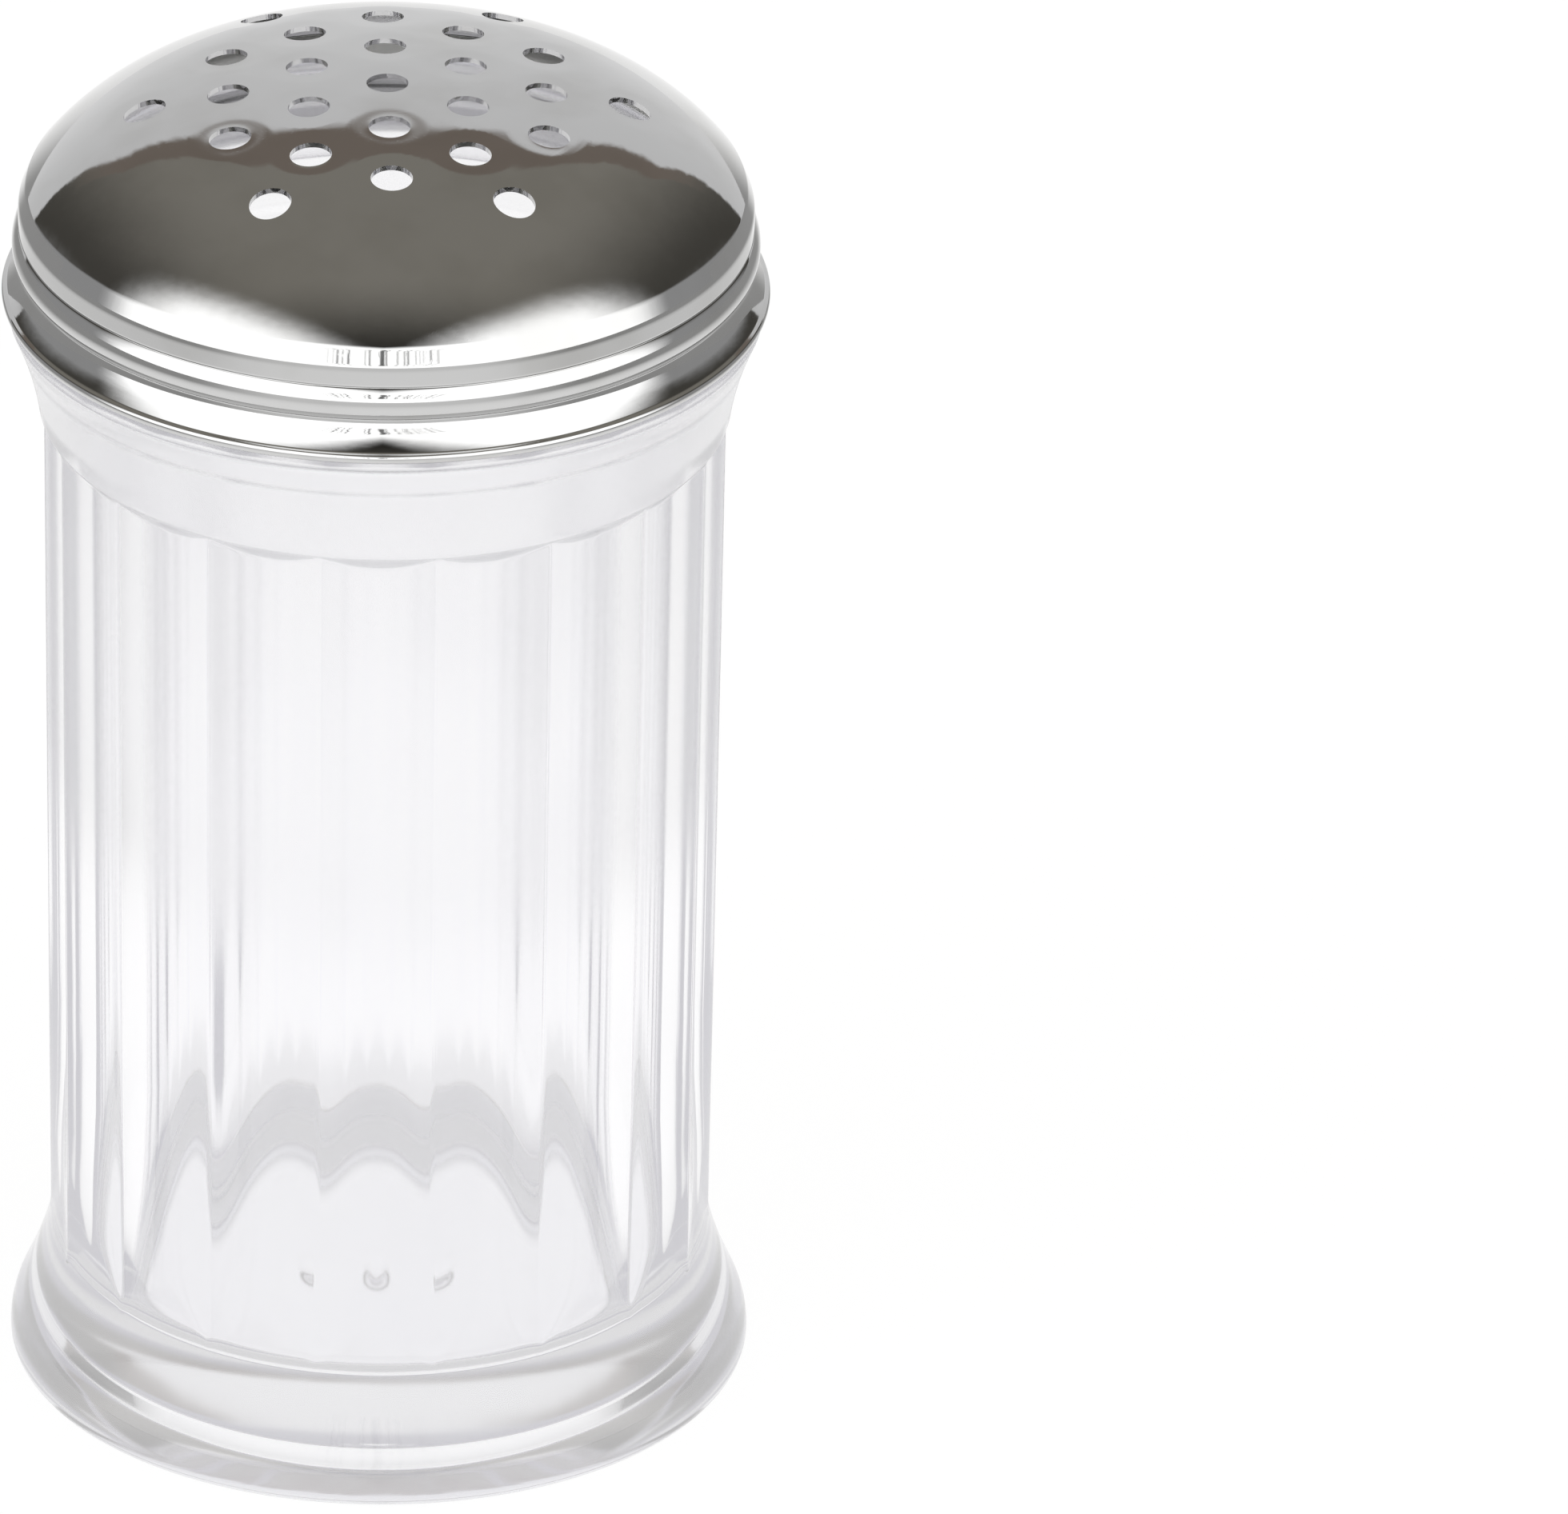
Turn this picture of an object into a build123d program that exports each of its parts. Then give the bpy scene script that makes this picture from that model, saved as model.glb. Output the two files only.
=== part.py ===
"""A table cheese shaker: a fluted clear jar, a perforated screw lid and the seal ring between them."""
import os
from math import asin, atan2, cos, degrees, radians, sin, sqrt, tan

from build123d import *

# Millimetres and degrees. The table is at height zero and the jar's axis is Z, with the front towards -Y.

# Foot: the widest ring, its round lower edge and the sweep that rises into the flutes
foot_radius = 36.5
foot_edge_round = 1.7
foot_bulge_radius = 7.5
foot_slope = 25.9
foot_sweep_radius = 40.4
recess_radius = 27.0
recess_depth = 2.0
gate_radius = 2.2
gate_height = 0.8

# Body and collar: the column's radius is taken over its ridges, where the collar starts to sweep out
ridge_radius = 33.4
draft = 0.48
shoulder_height = 114.6
shoulder_round = 0.6
collar_height = 16.6
collar_sweep_radius = 38.5
flute_count = 18
flute_depth = 0.95
flute_share = 0.95
flute_rise = 5.4
flute_end_slope = 45.0
cutter_depth = 8.0

# Inside of the jar
wall = 3.4
floor_height = 10.2
floor_corner = 3.6

# Neck: the bore widens by a small step below the shoulder
neck_radius = 32.9
neck_wall = 2.3
neck_height = 11.4
neck_bore_depth = 16.0
rim_round = 0.5

# Screw thread: the lid's rib is rolled inwards and leaves a groove outside. The rib ends a gap below
# the lid's crease, and the jar's thread is shorter by a share of a turn.
thread_pitch = 4.0
thread_start_angle = 264.0
thread_play = 0.35
jar_thread_shortfall = 0.2
jar_thread_clearance = 0.7
jar_thread_crest_width = 0.9
jar_thread_root_width = 2.2
lid_thread_rise = 3.2
lid_thread_end_gap = 1.5
lid_thread_gap = 1.1
lid_thread_tip_width = 0.9
lid_thread_root_width = 2.0
groove_bottom_width = 0.4
groove_mouth_width = 1.5

# Lid: its edge is the middle of the rolled bead, a little above the jar's shoulder, and the crease
# under its dome lies a little below the jar's rim
lid_lift = 1.4
crease_drop = 0.9
dome_height = 13.2
shoulder_width = 15.9
sheet = 0.5
band_gap = 3.0
flange_reach = 1.6
bead_radius = 0.6
flare_height = 2.2
crown_radius = 106.0
hole_radius = 2.05
hole_step = 8.93
outer_hole_ring = 23.6
hole_turn = 2.4
lid_seam_angle = 14.5

# Seal ring
seal_margin = 0.3
seal_thickness = 1.7
seal_chamfer = 0.4

os.makedirs("parts", exist_ok=True)

# Heights and radii that follow from the sizes above
collar_start = shoulder_height - collar_height
rim_height = shoulder_height + neck_height
neck_bore_start = rim_height - neck_bore_depth
bore_radius = ridge_radius - wall
neck_bore_radius = neck_radius - neck_wall
band_radius = neck_radius + band_gap
crown_edge = band_radius - shoulder_width
jar_thread_crest = band_radius - sheet - jar_thread_clearance
lid_thread_tip = neck_radius + lid_thread_gap
flange_radius = band_radius + flange_reach
lid_edge_height = shoulder_height + lid_lift
lid_thread_start = lid_edge_height + lid_thread_rise
crease_height = rim_height - crease_drop
overall_height = crease_height + dome_height
lid_thread_turns = (crease_height - lid_thread_end_gap - lid_thread_start) / thread_pitch
jar_thread_turns = lid_thread_turns - jar_thread_shortfall
column_slope = tan(radians(draft))
flute_pitch = 360 / flute_count
front_angle = 270.0
overlap = 0.3


def column_radius(height):
    """Radius of the drafted column over its ridges at a height."""
    return ridge_radius - (collar_start - height) * column_slope


def helical_bar(radius, start_height, turns, outer_x, outer_width, inner_x, inner_width):
    """Bar along the thread's helix, with a tapered section whose ends are given from that radius."""
    with BuildPart() as bar:
        with BuildLine(Plane.XY.offset(start_height)) as path:
            Helix(thread_pitch, thread_pitch * turns, radius)
        with BuildSketch(Plane(origin=path.line @ 0, x_dir=(1, 0, 0), z_dir=path.line % 0)):
            with BuildLine():
                Polyline(
                    (inner_x, -inner_width / 2),
                    (outer_x, -outer_width / 2),
                    (outer_x, outer_width / 2),
                    (inner_x, inner_width / 2),
                    close=True,
                )
            make_face()
        sweep(path=path.line, is_frenet=True)
    return bar.part


# Flute cutter: part of a tilted round bar that ends a little above the foot of the collar
half_flute = radians(flute_pitch * flute_share / 2)
flute_floor = ridge_radius - flute_depth
half_chord = ridge_radius * sin(half_flute)
flute_sagitta = ridge_radius * cos(half_flute) - flute_floor
cutter_radius = (half_chord**2 + flute_sagitta**2) / (2 * flute_sagitta)
cutter_turn = 1.1 * degrees(asin(half_chord / cutter_radius))
cutter_plane = Plane(
    origin=(flute_floor + cutter_radius, 0, collar_start),
    x_dir=(-cos(radians(draft)), 0, sin(radians(draft))),
    z_dir=(0, 1, 0),
)
with BuildPart() as flute_cutter:
    with BuildSketch(cutter_plane):
        with BuildLine():
            back = cutter_radius - cutter_depth
            top = flute_rise + overlap
            run = Line((cutter_radius, -collar_start), (cutter_radius, top))
            Polyline(run @ 1, (back, top), (back, -collar_start), run @ 0)
        make_face()
    revolve(axis=Axis(cutter_plane.origin, cutter_plane.y_dir), revolution_arc=cutter_turn)
    mirror(about=Plane.XZ)

# The collar's underside slopes out over the flutes to their upper ends, and from there the collar
# sweeps out until its round lip meets the level shoulder
collar_rise = shoulder_height - shoulder_round - collar_start
collar_turn = degrees(asin(collar_rise / (collar_sweep_radius + shoulder_round)))
flute_top = collar_start + flute_rise
flute_top_turn = degrees(asin(flute_rise / collar_sweep_radius))
collar_edge = ridge_radius + collar_sweep_radius * (1 - cos(radians(flute_top_turn)))
collar_foot_radius = (flute_floor + bore_radius) / 2
collar_foot = flute_top - (collar_edge - collar_foot_radius) * tan(radians(flute_end_slope))

# The jar's thread lies above the lid's, so that it holds the lid down, with some play between the flanks
tip_share = (jar_thread_crest - lid_thread_tip) / (band_radius - lid_thread_tip)
width_at_crest = lid_thread_tip_width + tip_share * (lid_thread_root_width - lid_thread_tip_width)
thread_lift = (jar_thread_crest_width + width_at_crest) / 2 + thread_play
jar_thread = helical_bar(
    neck_radius,
    lid_thread_start + thread_lift,
    jar_thread_turns,
    outer_x=jar_thread_crest - neck_radius,
    outer_width=jar_thread_crest_width,
    inner_x=-overlap,
    inner_width=jar_thread_root_width,
)

# Jar: the fluted column first, then the foot, the collar with the neck, the hollow and the thread
with BuildPart() as jar:
    with BuildSketch(Plane.XZ):
        with BuildLine():
            side = Line(
                (column_radius(foot_edge_round), foot_edge_round), (column_radius(flute_top), flute_top)
            )
            Polyline(side @ 1, (0, flute_top), (0, foot_edge_round), side @ 0)
        make_face()
    revolve(axis=Axis.Z)
    with PolarLocations(0, flute_count, start_angle=front_angle):
        add(flute_cutter.part, mode=Mode.SUBTRACT)
    with BuildSketch(Plane.XZ):
        with BuildLine():
            edge = JernArc((foot_radius - foot_edge_round, 0), (1, 0), foot_edge_round, 90)
            bulge = JernArc(edge @ 1, (0, 1), foot_bulge_radius, foot_slope)
            sweep_up = JernArc(bulge @ 1, bulge % 1, foot_sweep_radius, -foot_slope)
            Polyline(sweep_up @ 1, (0, (sweep_up @ 1).Y), (0, 0), edge @ 0)
        make_face()
    revolve(axis=Axis.Z)
    with BuildSketch(Plane.XZ):
        with BuildLine():
            underside = Line((collar_foot_radius, collar_foot), (collar_edge, flute_top))
            heading = (sin(radians(flute_top_turn)), cos(radians(flute_top_turn)))
            flare = JernArc(underside @ 1, heading, collar_sweep_radius, flute_top_turn - collar_turn)
            lip = JernArc(flare @ 1, flare % 1, shoulder_round, 90 + collar_turn)
            neck_foot = Polyline(
                lip @ 1, (neck_radius, shoulder_height), (neck_radius, rim_height - rim_round)
            )
            rim = JernArc(neck_foot @ 1, (0, 1), rim_round, 90)
            Polyline(rim @ 1, (0, rim_height), (0, collar_foot), underside @ 0)
        make_face()
    revolve(axis=Axis.Z)
    with BuildSketch(Plane.XZ):
        with BuildLine():
            wall_foot = bore_radius - (neck_bore_start - floor_height - floor_corner) * column_slope
            corner_end = (wall_foot, floor_height + floor_corner)
            corner = JernArc(corner_end, (0, -1), floor_corner, -90)
            step = abs(neck_bore_radius - bore_radius)
            mouth = JernArc((neck_bore_radius + rim_round, rim_height), (-1, 0), rim_round, 90)
            Polyline(corner @ 1, (0, floor_height), (0, rim_height), mouth @ 0)
            Polyline(
                mouth @ 1,
                (neck_bore_radius, neck_bore_start + step),
                (bore_radius, neck_bore_start),
                corner_end,
            )
        make_face()
    revolve(axis=Axis.Z, mode=Mode.SUBTRACT)
    with BuildSketch(Plane.XY):
        Circle(recess_radius)
        Circle(gate_radius, mode=Mode.SUBTRACT)
    extrude(amount=recess_depth, mode=Mode.SUBTRACT)
    with BuildSketch(Plane.XY):
        Circle(gate_radius)
    extrude(amount=recess_depth - gate_height, mode=Mode.SUBTRACT)
    add(jar_thread, rotation=(0, 0, thread_start_angle))
jar.part.label = "jar"
export_step(jar.part, "parts/jar.step")

lid_thread = helical_bar(
    band_radius,
    lid_thread_start,
    lid_thread_turns,
    outer_x=-sheet / 2,
    outer_width=lid_thread_root_width,
    inner_x=lid_thread_tip - band_radius,
    inner_width=lid_thread_tip_width,
)
lid_groove = helical_bar(
    band_radius,
    lid_thread_start,
    lid_thread_turns,
    outer_x=overlap,
    outer_width=groove_mouth_width,
    inner_x=lid_thread_tip + sheet - band_radius,
    inner_width=groove_bottom_width,
)
hole_rings = [
    (hole_step, 30.0 + hole_turn),
    (2 * hole_step, 30.0 + hole_turn),
    (sqrt(3) * hole_step, hole_turn),
    (outer_hole_ring, hole_turn),
]

# Lid: one pressed sheet from the crown to the flange, with a rolled bead and a rolled thread
flare_top = lid_edge_height + flare_height
flare_reach = flange_radius - bead_radius / 3 - band_radius
flare_radius = (flare_reach**2 + flare_height**2) / (2 * flare_reach)
flare_turn = degrees(asin(flare_height / flare_radius))
crown_turn = degrees(asin(crown_edge / crown_radius))
crown_drop = crown_radius * (1 - cos(radians(crown_turn)))
shoulder_reach = band_radius - crown_edge
shoulder_drop = overall_height - crown_drop - crease_height
chord_tilt = degrees(atan2(shoulder_drop, shoulder_reach))
shoulder_turn = 2 * (chord_tilt - crown_turn)
shoulder_radius = sqrt(shoulder_reach**2 + shoulder_drop**2) / (2 * sin(radians(shoulder_turn / 2)))


def lid_outline(inset):
    """Half outline of the lid, moved in by the inset and closed along the axis."""
    with BuildLine() as outline:
        crown = JernArc((0, overall_height - inset), (1, 0), crown_radius - inset, -crown_turn)
        shoulder = JernArc(crown @ 1, crown % 1, shoulder_radius - inset, -shoulder_turn)
        band = Line(shoulder @ 1, (band_radius - inset, flare_top))
        flare = JernArc(band @ 1, (0, -1), flare_radius + inset, flare_turn)
        Polyline(flare @ 1, (0, (flare @ 1).Y), crown @ 0)
    return outline.edges()


lid_plane = Plane.XZ.rotated((0, 0, lid_seam_angle))
with BuildPart() as lid:
    with BuildSketch(lid_plane):
        make_face(lid_outline(0))
    revolve(axis=Axis.Z)
    with BuildSketch(Plane.XY.offset(overall_height)):
        Circle(hole_radius)
        for ring_radius, ring_start in hole_rings:
            with PolarLocations(ring_radius, 6, start_angle=ring_start):
                Circle(hole_radius)
    extrude(amount=crease_height - overall_height, mode=Mode.SUBTRACT)
    with BuildSketch(lid_plane):
        make_face(lid_outline(sheet))
    revolve(axis=Axis.Z, mode=Mode.SUBTRACT)
    with BuildSketch(lid_plane):
        with Locations((flange_radius - bead_radius, lid_edge_height)):
            Circle(bead_radius)
    revolve(axis=Axis.Z)
    add(lid_thread, rotation=(0, 0, thread_start_angle))
    add(lid_groove, rotation=(0, 0, thread_start_angle), mode=Mode.SUBTRACT)
lid.part.label = "lid"
export_step(lid.part, "parts/lid.step")

# Seal ring: lies on the jar's rim, and its outer edge is cut away under the lid's shoulder
with BuildPart() as seal_ring:
    with BuildSketch(Plane.XY.offset(rim_height)):
        Circle(neck_radius + seal_margin)
        Circle(neck_bore_radius + seal_margin, mode=Mode.SUBTRACT)
    extrude(amount=seal_thickness)
    chamfer(seal_ring.edges().group_by(Axis.Z)[-1].sort_by(SortBy.RADIUS)[-1], seal_chamfer)
seal_ring.part.label = "seal_ring"
export_step(seal_ring.part, "parts/seal_ring.step")
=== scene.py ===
"""Looks of a table cheese shaker: clear fluted jar, polished screw lid with holes, soft seal ring."""

import logging
import math
from dataclasses import dataclass, field
from enum import Enum

import bpy
import numpy as np
from mathutils import Matrix, Vector


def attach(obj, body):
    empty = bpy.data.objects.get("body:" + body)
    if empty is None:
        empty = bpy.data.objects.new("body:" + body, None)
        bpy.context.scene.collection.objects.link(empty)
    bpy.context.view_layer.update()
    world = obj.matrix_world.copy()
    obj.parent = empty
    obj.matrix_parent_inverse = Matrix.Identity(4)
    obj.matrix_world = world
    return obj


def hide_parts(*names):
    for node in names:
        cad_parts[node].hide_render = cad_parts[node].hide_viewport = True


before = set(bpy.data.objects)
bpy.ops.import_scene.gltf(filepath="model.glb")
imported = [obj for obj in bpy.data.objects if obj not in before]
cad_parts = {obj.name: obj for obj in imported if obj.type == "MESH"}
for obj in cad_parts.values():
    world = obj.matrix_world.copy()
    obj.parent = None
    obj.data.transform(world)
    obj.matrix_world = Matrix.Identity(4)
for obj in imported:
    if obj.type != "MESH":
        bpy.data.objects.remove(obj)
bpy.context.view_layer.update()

logging.basicConfig(level=logging.INFO, format="%(message)s")
log = logging.getLogger("shaker")

MM = 0.001
FRONT = 270.0
WELD = 0.002
HOLES_IN_RING = 6

# Radius and height in millimetres, or a place in the image
Point = tuple[float, float]
Colour = tuple[float, float, float, float]
# Start and end of an eased change, and its values there
Fade = tuple[float, float, float, float]
# Value at zero and slope of a straight line
Line = tuple[float, float]
Triple = tuple[float, float, float]
Material = bpy.types.Material
Mesh = bpy.types.Mesh
Object = bpy.types.Object
Socket = bpy.types.NodeSocket


class Body(Enum):
    """Bodies that the pieces ride on."""

    JAR = "jar"
    LID = "lid"
    SEAL = "seal_ring"


class Slot(Enum):
    """Material slots of the record."""

    PLASTIC = "clear_plastic"
    STEEL = "polished_steel"
    SEAL = "soft_seal"


def smooth_min(a: np.ndarray, b: np.ndarray, width: float) -> np.ndarray:
    """Lesser of two surfaces with a rounded valley between them.

    Args:
        a: First surface.
        b: Second surface.
        width: Difference of the two within which they blend.

    Returns:
        The blended surface.
    """
    blend = np.maximum(width - np.abs(a - b), 0.0)
    return np.minimum(a, b) - blend**2 / (4 * width)


def smooth_step(t: np.ndarray) -> np.ndarray:
    """Eased ramp from 0 to 1."""
    t = np.clip(t, 0.0, 1.0)
    return t * t * (3 - 2 * t)


def arc(centre: Point, radius: float, start: float, end: float, count: int) -> list[Point]:
    """Points of an arc in the half plane of radius and height.

    Args:
        centre: Radius and height of the centre.
        radius: Radius of the arc.
        start: First angle in degrees, from the outward direction.
        end: Last angle in degrees.
        count: Number of points.

    Returns:
        The points, with both ends.
    """
    angles = np.radians(np.linspace(start, end, count))
    return [(centre[0] + radius * math.cos(a), centre[1] + radius * math.sin(a)) for a in angles]


def run(start: Point, end: Point, count: int) -> list[Point]:
    """Evenly spaced points on a straight line, without its first point."""
    steps = np.arange(1, count + 1) / count
    return [(start[0] + (end[0] - start[0]) * s, start[1] + (end[1] - start[1]) * s) for s in steps]


def bend(start: Point, tilt: float, end_tilt: float, drop: float, count: int) -> list[Point]:
    """Arc of a section that goes down from a point while the wall's tilt changes.

    Args:
        start: Radius and height where the arc starts, which is left out of the result.
        tilt: Upward tilt of the wall's normal at the start, in degrees.
        end_tilt: Upward tilt of the wall's normal at the end, in degrees.
        drop: Height from the start down to the end.
        count: Number of points.

    Returns:
        The points.
    """
    first, last = math.radians(tilt), math.radians(end_tilt)
    radius = drop / (math.sin(last) - math.sin(first))
    turns = [first + (last - first) * k / count for k in range(1, count + 1)]
    return [
        (
            start[0] + radius * (math.cos(first) - math.cos(t)),
            start[1] - radius * (math.sin(t) - math.sin(first)),
        )
        for t in turns
    ]


def turned(points: list[Point], columns: int) -> tuple[np.ndarray, np.ndarray, np.ndarray]:
    """Spreads an outline over the columns of a turned mesh.

    Args:
        points: Radius and height of each ring.
        columns: Number of columns.

    Returns:
        Radius and height of each ring at each column, and the columns' angles in degrees.
    """
    radius, height = (np.repeat(np.array(points)[:, [k]], columns, 1) for k in (0, 1))
    return radius, height, np.arange(columns) * 360.0 / columns


def lathe_mesh(
    name: str, radius: np.ndarray, height: np.ndarray, angle: np.ndarray, closed: bool
) -> Mesh:
    """Mesh of rings that are turned about the axis.

    A ring of radius zero at either end becomes a single point.

    Args:
        name: Name of the mesh.
        radius: Radius of each ring at each column, in millimetres.
        height: Height of each ring at each column, in millimetres.
        angle: Angle of each column in degrees.
        closed: Whether the last column joins the first.

    Returns:
        The mesh in metres.
    """
    rows, columns = radius.shape
    turn = np.radians(angle)
    points: list[Triple] = []
    index = np.zeros((rows, columns), int)
    for i in range(rows):
        if radius[i].max() < 1e-6:
            index[i] = len(points)
            points.append((0.0, 0.0, float(height[i, 0]) * MM))
            continue
        index[i] = len(points) + np.arange(columns)
        ring = np.stack([radius[i] * np.cos(turn), radius[i] * np.sin(turn), height[i]], 1) * MM
        points.extend(map(tuple, ring))
    faces: list[tuple[int, ...]] = []
    for i in range(rows - 1):
        for j in range(columns if closed else columns - 1):
            k = (j + 1) % columns
            corners = (index[i, j], index[i, k], index[i + 1, k], index[i + 1, j])
            face = tuple(dict.fromkeys(int(c) for c in corners))
            if len(face) > 2:
                faces.append(face)
    mesh = bpy.data.meshes.new(name)
    mesh.from_pydata(points, [], faces)
    mesh.update()
    return mesh


def place(name: str, mesh: Mesh) -> Object:
    """Puts a mesh into the scene as an object at the origin."""
    piece = bpy.data.objects.new(name, mesh)
    bpy.context.scene.collection.objects.link(piece)
    return piece


def settle(piece: Object, modifier: bpy.types.Modifier) -> None:
    """Turns the result of a piece's modifier into its plain mesh.

    Args:
        piece: Object with the modifier.
        modifier: Modifier that is removed afterwards.
    """
    bpy.context.view_layer.update()
    graph = bpy.context.evaluated_depsgraph_get()
    shaped = piece.evaluated_get(graph)
    mesh = bpy.data.meshes.new_from_object(shaped, preserve_all_data_layers=True, depsgraph=graph)
    mesh.name = piece.name
    piece.modifiers.remove(modifier)
    piece.data = mesh


def gather(items: object, name: str, width: int = 1, kind: type = np.float32) -> np.ndarray:
    """Reads a property of all elements of a mesh.

    Args:
        items: Corners, loops or faces of the mesh.
        name: Name of the property.
        width: Numbers in each element's value.
        kind: Type of the numbers.

    Returns:
        The values, one row each.
    """
    flat = np.empty(len(items) * width, kind)
    items.foreach_get(name, flat)
    return flat.reshape(-1, width) if width > 1 else flat


def coordinates(mesh: Mesh) -> np.ndarray:
    """Corner points of a mesh, one row each, in metres."""
    return gather(mesh.vertices, "co", 3).astype(float)


def shade_smooth(mesh: Mesh) -> None:
    """Shades every face of a mesh smoothly."""
    mesh.polygons.foreach_set("use_smooth", np.ones(len(mesh.polygons), bool))
    mesh.update()


class NodeTree:
    """Short way to write a node tree."""

    def __init__(self, tree: bpy.types.NodeTree) -> None:
        """Starts with an empty tree.

        Args:
            tree: Tree whose nodes are replaced.
        """
        self.tree = tree
        tree.nodes.clear()

    def add(
        self, kind: str, links: dict | None = None, values: dict | None = None, **settings: object
    ) -> bpy.types.Node:
        """Adds a node, sets it up and links its inputs.

        Args:
            kind: Type of the node.
            links: Output sockets by the name or number of the input that they feed.
            values: Constants by the name or number of their input.
            **settings: Properties of the node.

        Returns:
            The node.
        """
        node = self.tree.nodes.new(kind)
        for key, value in settings.items():
            setattr(node, key, value)
        for key, value in (values or {}).items():
            node.inputs[key].default_value = value
        for key, socket in (links or {}).items():
            self.tree.links.new(socket, node.inputs[key])
        return node

    def math(self, operation: str, a: object, b: object = 0.0) -> Socket:
        """Result of a math node on two sockets or numbers."""
        node = self.add("ShaderNodeMath", operation=operation)
        self.feed(node.inputs[0], a)
        self.feed(node.inputs[1], b)
        return node.outputs[0]

    def feed(self, entry: Socket, value: object) -> None:
        """Links an input to another socket, or sets it to a constant.

        Args:
            entry: Input socket.
            value: Output socket or constant.
        """
        if isinstance(value, Socket):
            self.tree.links.new(value, entry)
        else:
            entry.default_value = value

    def times(self, a: object, b: object) -> Socket:
        """Product of two sockets or numbers."""
        return self.math("MULTIPLY", a, b)

    def line(self, value: Socket, straight: Line) -> Socket:
        """Height of a straight line at a value."""
        return self.math("ADD", straight[0], self.times(value, straight[1]))

    def vector(self, operation: str, links: dict, values: dict | None = None) -> Socket:
        """Vector that a vector math node puts out."""
        return self.add("ShaderNodeVectorMath", links, values, operation=operation).outputs[0]

    def noise(self, where: Socket, scale: float, detail: float, roughness: float = 0.5) -> Socket:
        """Value of a noise texture at a place."""
        values = {"Scale": scale, "Detail": detail, "Roughness": roughness}
        return self.add("ShaderNodeTexNoise", {"Vector": where}, values).outputs[0]

    def bump(self, height: Socket, strength: float, distance: float) -> Socket:
        """Normal of a surface that is bent by a height."""
        values = {"Strength": strength, "Distance": distance}
        return self.add("ShaderNodeBump", {"Height": height}, values).outputs[0]

    def blend(self, share: Socket, low: object, high: object) -> Socket:
        """Mix of two colours.

        Args:
            share: Socket with the share of the second colour.
            low: Colour or colour socket where the share is 0.
            high: Colour or colour socket where the share is 1.

        Returns:
            Socket with the colour.
        """
        mix = self.add("ShaderNodeMix", {0: share}, data_type="RGBA")
        self.feed(mix.inputs[6], low)
        self.feed(mix.inputs[7], high)
        return mix.outputs[2]

    def ramp(
        self, value: Socket, start: float, end: float, low: float, high: float
    ) -> Socket:
        """Eased change from low to high while a value goes from start to end."""
        node = self.add(
            "ShaderNodeMapRange",
            {0: value},
            {1: start, 2: end, 3: low, 4: high},
            interpolation_type="SMOOTHSTEP",
        )
        return node.outputs[0]


def new_material(name: str) -> tuple[Material, NodeTree]:
    """Makes a material with an empty node tree.

    Args:
        name: Name of the material.

    Returns:
        The material and its tree.
    """
    material = bpy.data.materials.new(name)
    material.use_nodes = True
    return material, NodeTree(material.node_tree)


def group_socket(tree: bpy.types.NodeTree, name: str, way: str, kind: str, value: object = None) -> str:
    """Adds a named socket to a node group.

    Args:
        tree: Node group.
        name: Name of the socket.
        way: INPUT or OUTPUT.
        kind: Socket type.
        value: Default of an input.

    Returns:
        The socket's identifier.
    """
    socket = tree.interface.new_socket(name=name, in_out=way, socket_type=kind)
    if value is not None:
        socket.default_value = value
    return socket.identifier


@dataclass(frozen=True)
class HandlingMarks:
    """Smudges and hairline scratches that handling leaves on a smooth surface."""

    smudge_scale: float = 55.0
    smudge_roughness: float = 0.55
    smudge_edge: Fade = (0.42, 0.72, 0.0, 1.0)
    smudge_share: float = 0.75
    scratch_scale: Triple = (2600.0, 2600.0, 120.0)
    scratch_turn: Triple = (0.5, 0.35, 0.0)
    scratch_edge: Fade = (0.62, 0.78, 0.0, 1.0)

    def make(self) -> bpy.types.NodeTree:
        """Builds the shader group.

        Returns:
            The group, with the inputs Clean, Smudged and Fineness and the outputs Roughness, Height and Tone.
        """
        tree = bpy.data.node_groups.new("Handling marks", "ShaderNodeTree")
        for name, value in (("Clean", 0.02), ("Smudged", 0.06), ("Fineness", 1.0)):
            group_socket(tree, name, "INPUT", "NodeSocketFloat", value)
        for name in ("Roughness", "Height", "Tone"):
            group_socket(tree, name, "OUTPUT", "NodeSocketFloat")
        nodes = NodeTree(tree)
        given = nodes.add("NodeGroupInput").outputs
        where = nodes.add("ShaderNodeTexCoord").outputs["Object"]
        scaled = nodes.vector("SCALE", {0: where, "Scale": given["Fineness"]})
        stretched = nodes.add(
            "ShaderNodeMapping",
            {"Vector": scaled},
            {"Scale": self.scratch_scale, "Rotation": self.scratch_turn},
        )
        smudges = nodes.noise(scaled, self.smudge_scale, 3.0, self.smudge_roughness)
        smudge = nodes.ramp(smudges, *self.smudge_edge)
        scratch = nodes.ramp(nodes.noise(stretched.outputs[0], 1.0, 1.0), *self.scratch_edge)
        scratched = nodes.times(scratch, 1.0 - self.smudge_share)
        share = nodes.math("ADD", nodes.times(smudge, self.smudge_share), scratched)
        span = nodes.math("SUBTRACT", given["Smudged"], given["Clean"])
        rough = nodes.math("ADD", given["Clean"], nodes.times(span, share))
        nodes.add("NodeGroupOutput", {"Roughness": rough, "Height": scratch, "Tone": smudge})
        return tree


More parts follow.
